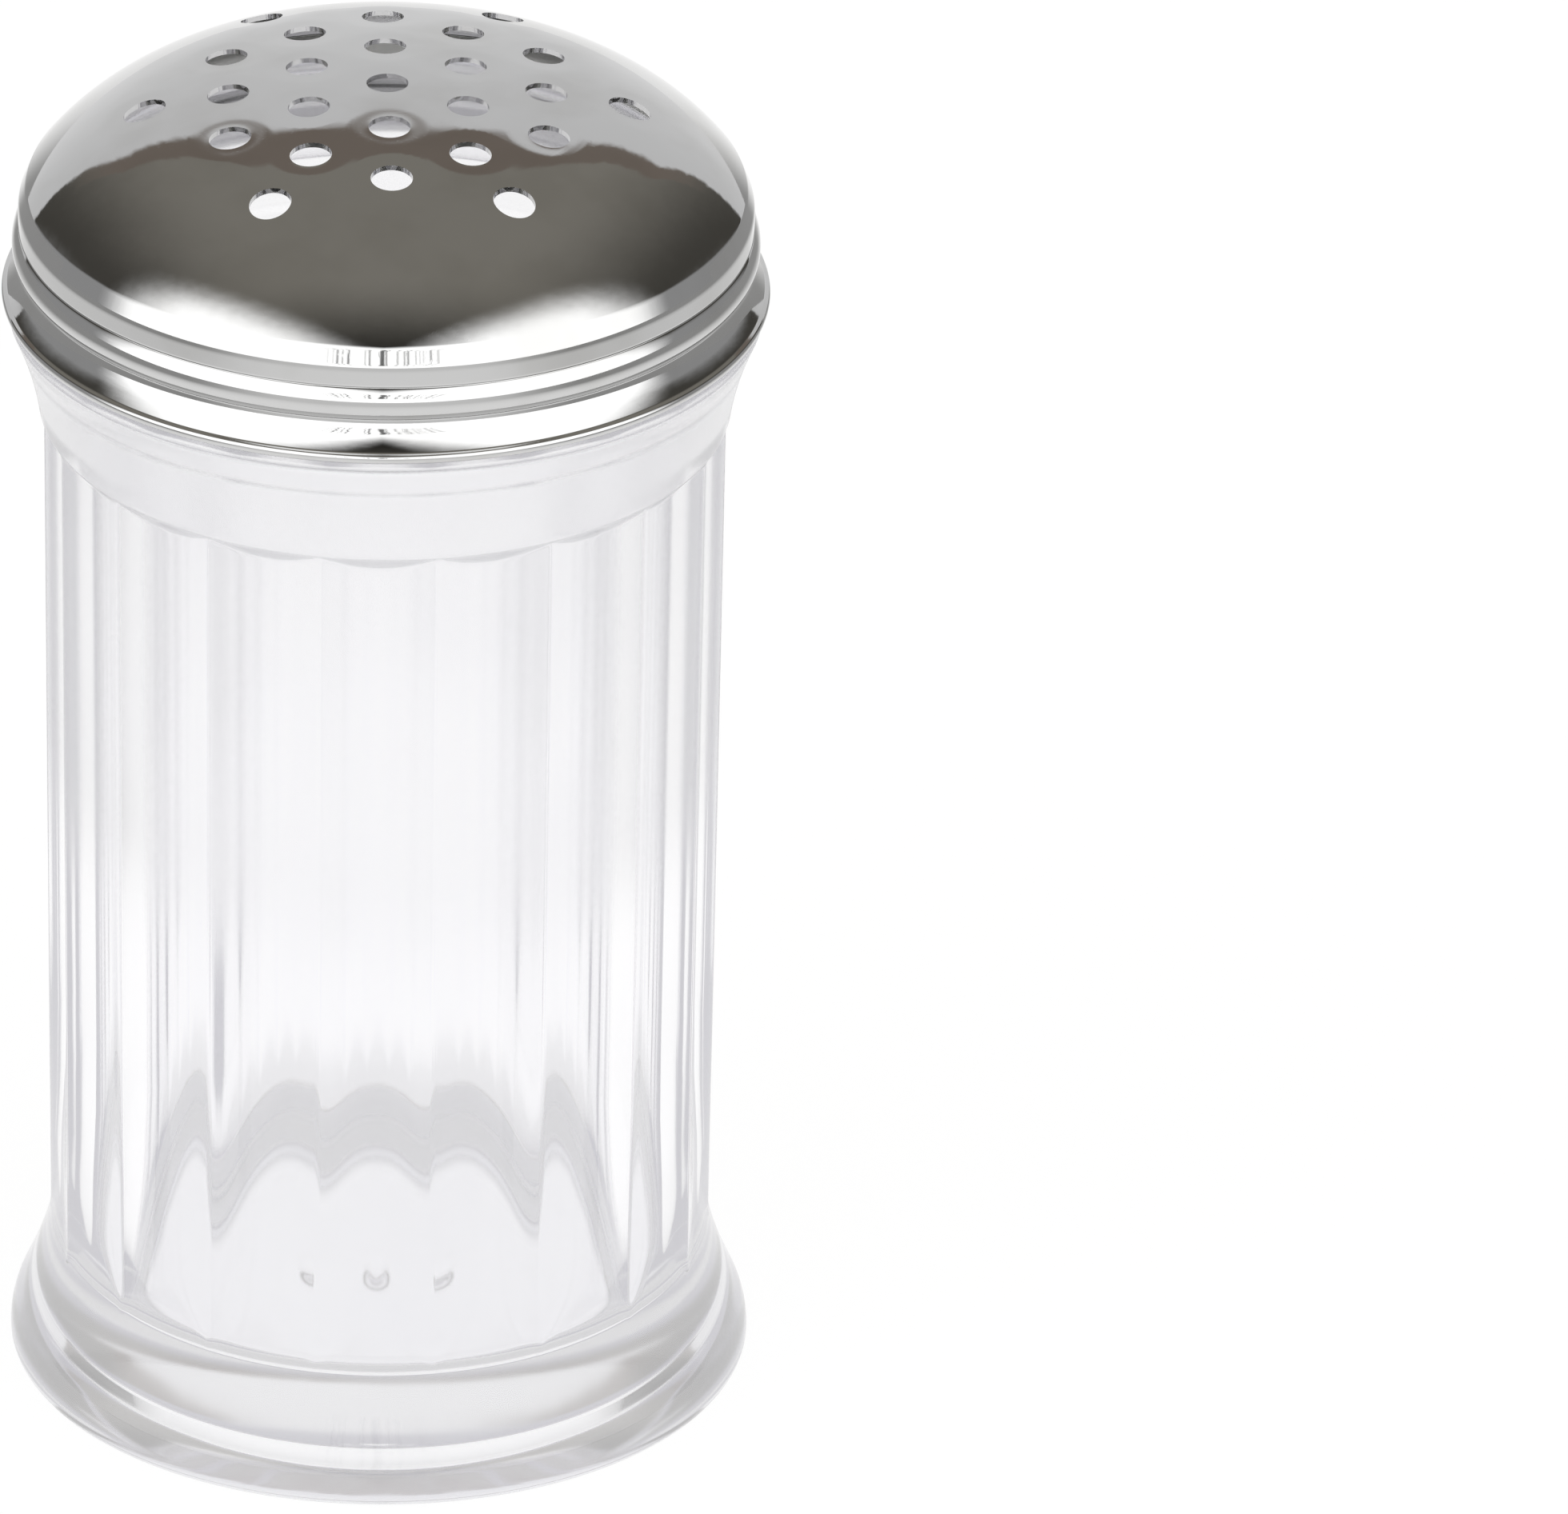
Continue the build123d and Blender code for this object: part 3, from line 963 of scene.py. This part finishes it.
@dataclass
class Lid:
    """Polished dome with holes, a band with a rolled bead and a flared, rolled edge. Sizes in millimetres."""

    edge_height: float = 116.0
    overall_height: float = 138.3
    sheet: float = 0.5
    band_radius: float = 35.9
    flange_radius: float = 37.5
    bead_radius: float = 0.6
    crease_height: float = 125.1
    strip_height: float = 2.05
    strip_width: float = 0.84
    wall_height: float = 2.05
    bead_top: float = 1.5
    bead_bottom: float = 2.03
    neck_height: float = 1.9
    crown_radius: float = 106.0
    crown_edge: float = 20.0
    hole_radius: float = 2.05
    hole_step: float = 8.93
    outer_hole_ring: float = 23.6
    hole_turn: float = 2.4
    dimple_depth: float = 0.04
    dimple_reach: float = 2.2
    line_depth: float = 0.1
    bead_tilt: float = 36.0
    bead_middle_tilt: float = 8.0
    bead_under_tilt: float = -58.0
    neck_tilt: float = 8.0
    flare_tilt: float = 33.0
    flare_end_tilt: float = 40.0
    rim_start: float = 48.0
    rim_end: float = -200.0
    columns: int = 288

    def __post_init__(self) -> None:
        """Works out the shoulder's arc and the places of the holes."""
        self.crown_turn = math.asin(self.crown_edge / self.crown_radius)
        crown_drop = self.crown_radius * (1 - math.cos(self.crown_turn))
        self.strip_top = (self.band_radius - self.strip_width, self.crease_height + self.strip_height)
        reach = self.strip_top[0] - self.crown_edge
        drop = self.overall_height - crown_drop - self.strip_top[1]
        turn = 2 * (math.atan2(drop, reach) - self.crown_turn)
        self.shoulder_radius = math.hypot(reach, drop) / (2 * math.sin(turn / 2))
        self.shoulder_end = self.crown_turn + turn
        self.shoulder_centre = (
            self.crown_edge - self.shoulder_radius * math.sin(self.crown_turn),
            self.overall_height - crown_drop - self.shoulder_radius * math.cos(self.crown_turn),
        )
        half_step = 180.0 / HOLES_IN_RING
        self.rings = [
            HoleRing(self.hole_step, half_step + self.hole_turn),
            HoleRing(2 * self.hole_step, half_step + self.hole_turn),
            HoleRing(math.sqrt(3) * self.hole_step, self.hole_turn),
            HoleRing(self.outer_hole_ring, self.hole_turn),
        ]
        self.centres = np.array([(0.0, 0.0)] + [c for ring in self.rings for c in ring.centres()])

    def dome(self, radius: np.ndarray, inset: float) -> np.ndarray:
        """Height of the dome at a radius, moved in by the inset."""
        crown = self.overall_height - self.crown_radius + np.sqrt(
            np.maximum((self.crown_radius - inset) ** 2 - radius**2, 0.0)
        )
        out = radius - self.shoulder_centre[0]
        arc_radius = self.shoulder_radius - inset
        shoulder = self.shoulder_centre[1] + np.sqrt(np.maximum(arc_radius**2 - out**2, 0.0))
        edge = self.crown_edge - inset * math.sin(self.crown_turn)
        return np.where(radius <= edge, crown, shoulder)

    def dimple(self, x: np.ndarray, y: np.ndarray) -> np.ndarray:
        """Depth of the shallow dimples that punching leaves around the holes."""
        away = np.min(
            [np.hypot(x - cx, y - cy) for cx, cy in self.centres],
            axis=0,
        ) - self.hole_radius
        return self.dimple_depth * (1 - smooth_step(np.maximum(away, 0.0) / self.dimple_reach))

    def height(self, x: np.ndarray, y: np.ndarray, inset: float) -> np.ndarray:
        """Height of the dimpled dome over a point."""
        return self.dome(np.hypot(x, y), inset) - self.dimple(x, y)

    def outline(self) -> tuple[list[Point], int, int]:
        """Outline of the sheet from the top, round the edge and back to the top inside.

        Returns:
            The points, the number of outer dome points and the number of inner dome points.
        """
        reach = np.concatenate([[0.0, 1.0], np.linspace(2.0, self.crown_edge, 37)])
        tilt = np.linspace(self.crown_turn, self.shoulder_end, 46)[1:]
        outer = [(r, float(self.dome(np.array(r), 0.0))) for r in reach]
        outer += [
            (
                self.shoulder_centre[0] + self.shoulder_radius * math.sin(t),
                self.shoulder_centre[1] + self.shoulder_radius * math.cos(t),
            )
            for t in tilt[:-1]
        ]
        points = list(outer) + [self.strip_top]
        points += run(self.strip_top, (self.band_radius - 0.05, self.crease_height + 0.12), 8)[1:]
        band, crease = self.band_radius, self.crease_height
        points += run((band, crease - 0.06), (band, crease - self.wall_height), 8)
        foot = points[-1][1]
        points += [(band - self.line_depth, foot - 0.04), (band - 0.02, foot - 0.1)]
        bead = bend(points[-1], self.bead_tilt, self.bead_middle_tilt, self.bead_top, 12)
        bead += bend(bead[-1], self.bead_middle_tilt, self.bead_under_tilt, self.bead_bottom, 18)
        flare = bend(bead[-1], self.neck_tilt, self.flare_tilt, self.neck_height, 12)
        rim = (self.flange_radius - self.bead_radius, self.edge_height)
        lip = rim[1] + self.bead_radius * math.sin(math.radians(90.0 - self.flare_end_tilt))
        flare += bend(flare[-1], self.flare_tilt, self.flare_end_tilt, flare[-1][1] - lip, 8)
        points += bead + flare
        points += arc(rim, self.bead_radius, self.rim_start, self.rim_end, 24)
        inner_wall = self.band_radius - self.sheet
        flare_inside = (flare[-4][0] - self.sheet, flare[-4][1] - self.sheet / 2)
        points += run(flare_inside, (bead[-1][0] - self.sheet, bead[-1][1]), 12)
        points += run(points[-1], (inner_wall, bead[8][1]), 12)[1:]
        points += run(points[-1], (inner_wall, self.crease_height - 0.3), 10)[1:]
        points += [(self.strip_top[0] - self.sheet, self.strip_top[1] - 0.3)]
        inside = self.shoulder_radius - self.sheet
        inner = [
            (self.shoulder_centre[0] + inside * math.sin(t), self.shoulder_centre[1] + inside * math.cos(t))
            for t in np.linspace(self.shoulder_end, self.crown_turn, 24)
        ]
        edge = inner[-1][0]
        inner += [(r, float(self.dome(np.array(r), self.sheet))) for r in np.linspace(edge, 2.0, 24)[1:]]
        inner += [(1.0, float(self.dome(np.array(1.0), self.sheet))), (0.0, self.overall_height - self.sheet)]
        return points + inner, len(outer), len(inner)

    def blank(self) -> Mesh:
        """Sheet of the lid with its dimples, before it is punched."""
        points, outer, inner = self.outline()
        radius, height, angle = turned(points, self.columns)
        x, y = radius * np.cos(np.radians(angle)), radius * np.sin(np.radians(angle))
        dome = np.zeros(len(points), bool)
        dome[:outer] = True
        dome[len(points) - inner:] = True
        height -= np.where(dome[:, None], self.dimple(x, y), 0.0)
        # The path runs from the top outwards and down, so the columns go round backwards
        return lathe_mesh("Lid_blank", radius[:, ::-1], height[:, ::-1], angle[::-1], closed=True)

    def polish(self, mesh: Mesh) -> None:
        """Gives the dome's faces their exact normals, so that the punched sheet still mirrors cleanly."""
        points = coordinates(mesh) / MM
        loops = gather(mesh.loops, "vertex_index", kind=np.int64)
        normals = gather(mesh.corner_normals, "vector", 3).astype(float)
        face_normals = gather(mesh.polygons, "normal", 3)
        sizes = gather(mesh.polygons, "loop_total", kind=np.int64)
        owner = np.repeat(np.arange(len(mesh.polygons)), sizes)
        corner = points[loops]
        x, y = corner[:, 0], corner[:, 1]
        span = np.hypot(x, y)
        shell = (span < self.band_radius - 0.4) & (corner[:, 2] > self.crease_height + 0.2)
        upward = face_normals[owner][:, 2]
        step = 0.02
        for side, inset in ((1.0, 0.0), (-1.0, self.sheet)):
            facing = shell & (side * upward > 0.25)
            level = np.abs(corner[:, 2] - self.height(x, y, inset)) < 0.12
            chosen = facing & level
            cx, cy = x[chosen], y[chosen]
            slope_x = (self.height(cx + step, cy, inset) - self.height(cx - step, cy, inset)) / (2 * step)
            slope_y = (self.height(cx, cy + step, inset) - self.height(cx, cy - step, inset)) / (2 * step)
            normal = np.stack([-slope_x, -slope_y, np.ones_like(cx)], 1) * side
            normals[chosen] = normal / np.linalg.norm(normal, axis=1)[:, None]
        walls = shell & (np.abs(upward) < 0.2)
        away = self.centres[None, :, :] - corner[walls][:, None, :2]
        nearest = np.argmin(np.linalg.norm(away, axis=2), axis=1)
        inwards = away[np.arange(len(nearest)), nearest]
        inwards /= np.maximum(np.linalg.norm(inwards, axis=1), 1e-9)[:, None]
        normals[walls] = np.column_stack([inwards, np.zeros(len(inwards))])
        mesh.normals_split_custom_set([tuple(n) for n in normals])

    def build(self, finish: Material) -> Object:
        """Builds and dresses the lid.

        Args:
            finish: Polished steel.

        Returns:
            The lid, riding on its body.
        """
        lid = place("Shaker_lid", self.blank())
        punched = perforate(self.rings, self.crease_height + 1.0, self.overall_height + 2.0)
        shape(lid, punched, {"Hole Radius": self.hole_radius * MM, "Finish": finish})
        shade_smooth(lid.data)
        self.polish(lid.data)
        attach(lid, Body.LID.value)
        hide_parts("lid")
        return lid


@dataclass
class SealRing:
    """Soft ring between the jar's rim and the lid. Sizes in millimetres."""

    bottom: float
    thickness: float = 1.7
    inner_radius: float = 30.9
    outer_radius: float = 33.2
    edge_round: float = 0.35
    columns: int = 192

    def build(self, finish: Material) -> Object:
        """Builds and dresses the ring.

        Args:
            finish: Soft rubber.

        Returns:
            The ring, riding on its body.
        """
        low, high = self.bottom + self.edge_round, self.bottom + self.thickness - self.edge_round
        inner, outer = self.inner_radius + self.edge_round, self.outer_radius - self.edge_round
        points = arc((outer, low), self.edge_round, -90, 0, 6)
        points += arc((outer, high), self.edge_round, 0, 90, 6)
        points += arc((inner, high), self.edge_round, 90, 180, 6)
        points += arc((inner, low), self.edge_round, 180, 270, 6)
        points.append(points[0])
        radius, height, angle = turned(points, self.columns)
        ring = place("Seal_gasket", lathe_mesh("Seal_gasket", radius, height, angle, closed=True))
        weld = ring.modifiers.new("Weld", "WELD")
        weld.merge_threshold = WELD * MM
        settle(ring, weld)
        ring.data.materials.append(finish)
        shade_smooth(ring.data)
        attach(ring, Body.SEAL.value)
        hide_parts("seal_ring")
        return ring


@dataclass(frozen=True)
class Room:
    """Room that the polished lid mirrors, drawn on a map of directions.

    The map's middle is overhead and its unit circle is the horizon, with the viewer's side below the middle.
    """

    ceiling: Colour = (0.250, 0.236, 0.208, 1.0)
    corner: Colour = (0.018, 0.017, 0.015, 1.0)
    beam: Colour = (0.190, 0.160, 0.137, 1.0)
    wall: Colour = (0.700, 0.700, 0.705, 1.0)
    wall_foot: Colour = (0.880, 0.880, 0.885, 1.0)
    side: Colour = (0.350, 0.350, 0.352, 1.0)
    window: Colour = (1.70, 1.70, 1.70, 1.0)
    wing: Fade = (0.18, 0.62, 1.0, 0.22)
    core: Fade = (-0.44, -0.06, 0.03, 1.0)
    left_corner: Line = (0.309, -0.6)
    right_corner: Line = (0.197, 0.962)
    far_corner: float = 0.513
    beam_edge: Fade = (-0.072, -0.06, 0.0, 1.0)
    beam_reach: Fade = (0.33, 0.5, 1.0, 0.0)
    wall_edge: Fade = (-0.01, 0.012, 0.0, 1.0)
    wall_drop: Fade = (0.0, 0.6, 0.0, 1.0)
    side_edge: Fade = (0.62, 0.78, 0.0, 1.0)
    window_line: Line = (0.4845, 0.912)
    window_side: Fade = (-0.11, 0.10, 0.0, 1.0)
    window_end: Fade = (-0.17, 0.10, 1.0, 0.0)
    post_fineness: float = 70.0
    post_top: Fade = (-0.66, -0.62, 1.0, 0.0)
    post_foot: Fade = (-0.84, -0.8, 0.0, 1.0)
    post_edge: Fade = (0.55, 0.6, 0.0, 1.0)
    post_reach: Fade = (0.16, 0.28, 0.8, 0.0)
    middle_post: Fade = (0.008, 0.016, 0.9, 0.0)

    def paint(self, nodes: NodeTree, direction: Socket) -> Socket:
        """Colour of the room in a direction.

        Args:
            nodes: Node tree of the world.
            direction: Socket with the direction.

        Returns:
            Socket with the colour.
        """
        axes = nodes.add("ShaderNodeSeparateXYZ", {0: direction}).outputs
        over = nodes.math("MAXIMUM", nodes.math("ADD", axes["Z"], 1.0), 0.05)
        across, ahead = nodes.math("DIVIDE", axes["X"], over), nodes.math("DIVIDE", axes["Y"], over)
        aside = nodes.math("ABSOLUTE", across)
        lit = nodes.times(nodes.ramp(aside, *self.wing), nodes.ramp(ahead, *self.core))
        colour = nodes.blend(lit, self.corner, self.ceiling)
        left, right = nodes.line(across, self.left_corner), nodes.line(across, self.right_corner)
        edge = nodes.math("MAXIMUM", nodes.math("MAXIMUM", left, right), self.far_corner)
        beyond = nodes.math("SUBTRACT", ahead, edge)
        beam = nodes.times(nodes.ramp(beyond, *self.beam_edge), nodes.ramp(aside, *self.beam_reach))
        colour = nodes.blend(beam, colour, self.beam)
        wall = nodes.blend(nodes.ramp(beyond, *self.wall_drop), self.wall, self.wall_foot)
        colour = nodes.blend(nodes.ramp(beyond, *self.wall_edge), colour, wall)
        colour = nodes.blend(nodes.ramp(aside, *self.side_edge), colour, self.side)
        past = nodes.math("SUBTRACT", aside, nodes.line(ahead, self.window_line))
        window = nodes.times(nodes.ramp(past, *self.window_side), nodes.ramp(ahead, *self.window_end))
        colour = nodes.blend(window, colour, self.window)
        stripes = nodes.add(
            "ShaderNodeTexNoise",
            {"W": across},
            {"Scale": self.post_fineness, "Detail": 1.0},
            noise_dimensions="1D",
        ).outputs[0]
        low = nodes.times(nodes.ramp(ahead, *self.post_top), nodes.ramp(ahead, *self.post_foot))
        posts = nodes.times(nodes.ramp(stripes, *self.post_edge), nodes.ramp(aside, *self.post_reach))
        posts = nodes.math("MAXIMUM", posts, nodes.ramp(aside, *self.middle_post))
        return nodes.blend(nodes.times(posts, low), colour, self.corner)


@dataclass(frozen=True)
class Floor:
    """White floor, with painted tones in the lid's mirror and through the clear jar: a painted shadow around
    the jar's foot seen through the jar, and painted shade farther out seen in the mirror. Lengths in metres.
    """

    radius: float = 4.0
    corners: int = 96
    gap: float = 0.0002
    plain: float = 0.8
    white_glow: float = 0.96
    white_matte: float = 0.08
    matte: float = 0.22
    through_glow: float = 0.90
    mirror_glow: float = 0.86
    # Painted shadow seen through the jar: darker under the base, darkest past the standing edge, lighter
    # again farther out, a little dimmer far away
    painted_base_shadow: float = 0.94
    painted_base_shadow_edge: Fade = (0.025, 0.028, 1.0, 0.74)
    about: Fade = (0.034, 0.046, 0.0, 0.15)
    about_rise: Fade = (0.044, 0.070, 1.0, 2.1)
    distant: Fade = (0.16, 0.25, 1.0, 0.93)
    # Painted shade of the floor in the lid's mirror: darker farther out, most at the sides, less in front,
    # none straight behind
    painted_shade_away: Fade = (0.12, 0.5, 0.0, 0.74)
    painted_shade_behind: Fade = (0.86, 0.985, 1.0, 0.0)
    painted_shade_front: Fade = (-0.95, -0.5, 0.35, 1.0)

    def look(self, nodes: NodeTree, tone: object, glow: float, matte: float) -> bpy.types.Node:
        """Glowing floor that also takes light and shadow.

        Args:
            nodes: Node tree of the floor's material.
            tone: Colour or socket of the glow.
            glow: Strength of the glow.
            matte: Grey of the surface that takes light.

        Returns:
            The shader node.
        """
        shine = nodes.add("ShaderNodeEmission", values={"Strength": glow})
        nodes.feed(shine.inputs["Color"], tone)
        dull = nodes.add("ShaderNodeBsdfDiffuse", values={"Color": (matte, matte, matte, 1.0)})
        return nodes.add("ShaderNodeAddShader", {0: shine.outputs[0], 1: dull.outputs[0]})

    def build(self) -> None:
        """Builds the floor."""
        turns = [2 * math.pi * k / self.corners for k in range(self.corners)]
        mesh = bpy.data.meshes.new("Floor")
        edge = [(self.radius * math.cos(t), self.radius * math.sin(t), -self.gap) for t in turns]
        mesh.from_pydata(edge, [], [tuple(range(self.corners))])
        floor = place("Floor", mesh)
        material, nodes = new_material("White floor")
        where = nodes.add("ShaderNodeTexCoord").outputs["Object"]
        away = nodes.add("ShaderNodeVectorMath", {0: where}, operation="LENGTH").outputs["Value"]
        axes = nodes.add("ShaderNodeSeparateXYZ", {0: where}).outputs
        behind = nodes.math("DIVIDE", axes["Y"], away)
        # Painted shadow for rays through the jar: the floor's tone is darker under and around the jar's foot
        under = nodes.times(nodes.ramp(away, *self.painted_base_shadow_edge), self.painted_base_shadow)
        about = nodes.times(nodes.ramp(away, *self.about), nodes.ramp(away, *self.about_rise))
        tone = nodes.times(nodes.math("ADD", under, about), nodes.ramp(away, *self.distant))
        # Painted shade that only the mirrored rays see on the floor
        painted_mirror_shade = nodes.times(nodes.ramp(away, *self.painted_shade_away), nodes.ramp(behind, *self.painted_shade_behind))
        painted_mirror_shade = nodes.times(painted_mirror_shade, nodes.ramp(behind, *self.painted_shade_front))
        looks = {
            "Is Glossy Ray": self.look(nodes, nodes.math("SUBTRACT", 1.0, painted_mirror_shade), self.mirror_glow, self.matte),
            "Is Transmission Ray": self.look(nodes, tone, self.through_glow, self.matte),
            "Is Camera Ray": self.look(nodes, (1.0, 1.0, 1.0, 1.0), self.white_glow, self.white_matte),
        }
        path = nodes.add("ShaderNodeLightPath").outputs
        grey = (self.plain, self.plain, self.plain, 1.0)
        shown = nodes.add("ShaderNodeBsdfDiffuse", values={"Color": grey})
        # A ray through the jar counts as glossy too, so its look comes after the mirrored one
        for ray, look in looks.items():
            shown = nodes.add("ShaderNodeMixShader", {0: path[ray], 1: shown.outputs[0], 2: look.outputs[0]})
        nodes.add("ShaderNodeOutputMaterial", {"Surface": shown.outputs[0]})
        mesh.materials.append(material)


@dataclass
class Studio:
    """Camera, white floor and the room around the object."""

    elevation: float = 27.3
    distance: float = 3000.0
    scale: float = 12.73
    roll: float = 0.79
    aim_height: float = 71.25
    aim_pixel: Point = (478.9, 870.0)
    image: Point = (1960.0, 1893.0)
    haze: float = 0.40
    ripples: tuple[Point, ...] = ((3.0, 0.06), (22.0, 0.035))
    room: Room = field(default_factory=Room)
    floor: Floor = field(default_factory=Floor)

    def camera(self) -> None:
        """Puts the camera at the photograph's viewing angle."""
        lift, lean = math.radians(self.elevation), math.radians(self.roll)
        towards = Vector((0.0, -math.cos(lift), math.sin(lift)))
        level, up = Vector((1.0, 0.0, 0.0)), Vector((0.0, math.sin(lift), math.cos(lift)))
        right = level * math.cos(lean) + up * math.sin(lean)
        top = up * math.cos(lean) - level * math.sin(lean)
        across = (self.image[0] / 2 - self.aim_pixel[0]) / self.scale
        down = (self.image[1] / 2 - self.aim_pixel[1]) / self.scale
        aim = Vector((0.0, 0.0, self.aim_height))
        place_mm = aim + towards * self.distance + right * across - top * down
        data = bpy.data.cameras.new("Camera")
        data.sensor_fit = "HORIZONTAL"
        data.sensor_width = 36.0
        data.lens = self.scale * self.distance / self.image[0] * data.sensor_width
        data.clip_end = 50.0
        camera = bpy.data.objects.new("Camera", data)
        turn = Matrix((right, top, towards)).transposed().to_4x4()
        camera.matrix_world = Matrix.Translation(place_mm * MM) @ turn
        bpy.context.scene.collection.objects.link(camera)
        bpy.context.scene.camera = camera

    def world(self) -> None:
        """Lights the object with the drawn room and shows the camera a white background."""
        world = bpy.data.worlds.new("Studio")
        bpy.context.scene.world = world
        world.use_nodes = True
        nodes = NodeTree(world.node_tree)
        where = nodes.add("ShaderNodeTexCoord").outputs["Generated"]
        bent = where
        for scale, reach in self.ripples:
            ripple = nodes.add("ShaderNodeTexNoise", {"Vector": where}, {"Scale": scale, "Detail": 2.0})
            drift = nodes.vector("SUBTRACT", {0: ripple.outputs["Color"]}, {1: (0.5, 0.5, 0.5)})
            small = nodes.vector("SCALE", {0: drift}, {"Scale": reach})
            bent = nodes.vector("ADD", {0: bent, 1: small})
        colour = self.room.paint(nodes, bent)
        plain = (1.0, 1.0, 1.0, 1.0)
        pale = nodes.add("ShaderNodeMix", {6: colour}, {0: self.haze}, data_type="RGBA", clamp_result=True)
        pale.inputs[7].default_value = plain
        room = nodes.add("ShaderNodeBackground", {"Color": colour}, {"Strength": 1.0})
        through = nodes.add("ShaderNodeBackground", {"Color": pale.outputs[2]}, {"Strength": 1.0})
        white = nodes.add("ShaderNodeBackground", values={"Color": plain, "Strength": 1.0})
        path = nodes.add("ShaderNodeLightPath").outputs
        shown = room
        for ray, look in (("Is Transmission Ray", through), ("Is Camera Ray", white)):
            shown = nodes.add("ShaderNodeMixShader", {0: path[ray], 1: shown.outputs[0], 2: look.outputs[0]})
        nodes.add("ShaderNodeOutputWorld", {"Surface": shown.outputs[0]})

    def build(self) -> None:
        """Builds the camera, the floor and the world."""
        self.camera()
        self.floor.build()
        self.world()
        bpy.context.scene.view_settings.view_transform = "Standard"


def main() -> None:
    """Builds the shaker and its studio."""
    marks = HandlingMarks().make()
    jar = Jar(Thread())
    pieces = [
        jar.build(ClearPlastic().make(marks)),
        Lid().build(PolishedSteel().make(marks)),
        SealRing(jar.rim_height).build(SoftSeal().make()),
    ]
    for piece in pieces:
        log.info("%s: %d faces", piece.name, len(piece.data.polygons))
    Studio().build()


if __name__ == "__main__":
    main()
